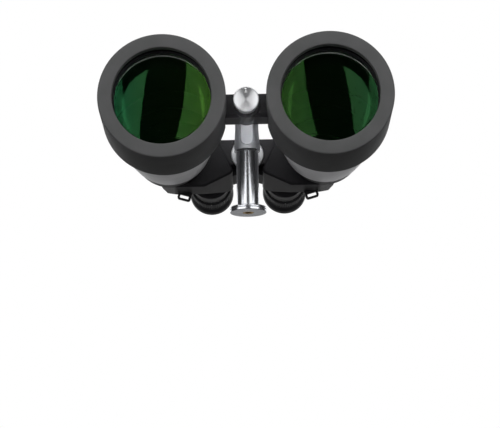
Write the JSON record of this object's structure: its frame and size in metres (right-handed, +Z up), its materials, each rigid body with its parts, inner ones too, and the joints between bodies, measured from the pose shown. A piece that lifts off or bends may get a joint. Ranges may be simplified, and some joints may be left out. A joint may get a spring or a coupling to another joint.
{
  "type": "astronomy binoculars",
  "caption": "Large-objective Porro-prism binoculars hinged on a centre rod that slides in a chrome tripod post, with individually focusing eyepieces.",
  "frame": {"origin": "centre of the post foot's bottom face, at the mouth of the tripod thread", "axes": "+X to the user's right, +Y from the objectives to the eyepieces along the rod, +Z up the post"},
  "size_m": [0.2406, 0.2908, 0.135],
  "materials": {
    "hood_rubber": "matte grey-black moulded rubber",
    "eyecup_rubber": "soft matte grey-black rubber",
    "tube_grey": "satin silver-grey lacquer",
    "housing_black": "fine satin black lacquer on cast alloy",
    "black_anodised": "black anodised, semi-matte",
    "post_chrome": "polished chrome",
    "turned_aluminium": "bright, radially turned",
    "rod_steel": "ground steel",
    "spring_steel": "thin spring steel",
    "zinc_screw": "blackened steel",
    "insert_brass": "plain brass",
    "coated_glass": "optical glass with a green anti-reflection coating",
    "prism_glass": "clear optical glass with ground cheeks",
    "focus_grip": "ribbed matte black plastic",
    "shelf_plastic": "matte black"
  },
  "bodies": {
    "post": {"tripod_post": "post_chrome", "post_foot": "post_chrome", "thread_insert": "insert_brass"},
    "lock_screw": {"post_lock_screw": "black_anodised"},
    "rod": {"centre_rod": "rod_steel", "hinge_disc": "turned_aluminium", "hinge_washers": "shelf_plastic", "hinge_end_cap": "black_anodised"},
    "tension_cap": {"front_cap": "turned_aluminium"},
    "left_half": {"left_hood": "hood_rubber", "left_objective_tube": "tube_grey", "left_lens_retainer": "black_anodised", "left_objective_crown": "coated_glass", "left_objective_flint": "coated_glass", "left_baffle": "black_anodised", "left_rear_cover": "housing_black", "left_cover_screws": "zinc_screw", "left_prism_shelf": "shelf_plastic", "left_strap_lug": "black_anodised", "left_arm_screws": "zinc_screw", "left_eyepiece_base": "black_anodised", "left_front_arm": "housing_black", "left_prism_housing": "housing_black", "left_front_prism": "prism_glass", "left_front_prism_strap": "spring_steel", "left_rear_prism": "prism_glass", "left_rear_prism_strap": "spring_steel"},
    "left_eyepiece_group": {"left_eyepiece_barrel": "black_anodised", "left_field_lens": "coated_glass", "left_eye_lens": "coated_glass"},
    "left_focus_ring_group": {"left_focus_ring": "focus_grip", "left_eyecup": "eyecup_rubber"},
    "right_half": {"right_hood": "hood_rubber", "right_objective_tube": "tube_grey", "right_lens_retainer": "black_anodised", "right_objective_crown": "coated_glass", "right_objective_flint": "coated_glass", "right_baffle": "black_anodised", "right_rear_cover": "housing_black", "right_cover_screws": "zinc_screw", "right_prism_shelf": "shelf_plastic", "right_strap_lug": "black_anodised", "right_arm_screws": "zinc_screw", "right_eyepiece_base": "black_anodised", "right_front_arm": "housing_black", "right_prism_housing": "housing_black", "right_front_prism": "prism_glass", "right_front_prism_strap": "spring_steel", "right_rear_prism": "prism_glass", "right_rear_prism_strap": "spring_steel"},
    "right_eyepiece_group": {"right_eyepiece_barrel": "black_anodised", "right_field_lens": "coated_glass", "right_eye_lens": "coated_glass"},
    "right_focus_ring_group": {"right_focus_ring": "focus_grip", "right_eyecup": "eyecup_rubber"}
  },
  "joints": [
    {"name": "rod_slide", "type": "slide", "parent": "post", "child": "rod", "axis": [0, 1, 0], "range_m": [-0.094, 0.002]},
    {"name": "lock_screw_turn", "type": "hinge", "parent": "post", "child": "lock_screw", "pos_m": [0, 0, 0.1], "axis": [0, 0, 1], "range_deg": [0, 360]},
    {"name": "tension_cap_turn", "type": "hinge", "parent": "rod", "child": "tension_cap", "pos_m": [0, -0.045, 0.083], "axis": [0, 1, 0], "range_deg": [0, 360]},
    {"name": "left_fold", "type": "hinge", "parent": "rod", "child": "left_half", "pos_m": [0, 0.14, 0.083], "axis": [0, 1, 0], "range_deg": [-17.4, 19.3]},
    {"name": "left_focus_turn", "type": "hinge", "parent": "left_half", "child": "left_focus_ring_group", "pos_m": [-0.0342, 0.196, 0.071], "axis": [0, 1, 0], "range_deg": [-120, 120]},
    {"name": "left_focus_slide", "type": "slide", "parent": "left_half", "child": "left_eyepiece_group", "axis": [0, 1, 0], "range_m": [-0.003, 0.003]},
    {"name": "right_fold", "type": "hinge", "parent": "rod", "child": "right_half", "pos_m": [0, 0.14, 0.083], "axis": [0, 1, 0], "range_deg": [-19.3, 17.4]},
    {"name": "right_focus_turn", "type": "hinge", "parent": "right_half", "child": "right_focus_ring_group", "pos_m": [0.0342, 0.196, 0.071], "axis": [0, 1, 0], "range_deg": [-120, 120]},
    {"name": "right_focus_slide", "type": "slide", "parent": "right_half", "child": "right_eyepiece_group", "axis": [0, 1, 0], "range_m": [-0.003, 0.003]}
  ],
  "couplings": [
    {"joint": "left_focus_slide", "follows": "left_focus_turn", "m_per_rad": 0.001432},
    {"joint": "right_focus_slide", "follows": "right_focus_turn", "m_per_rad": 0.001432}
  ]
}
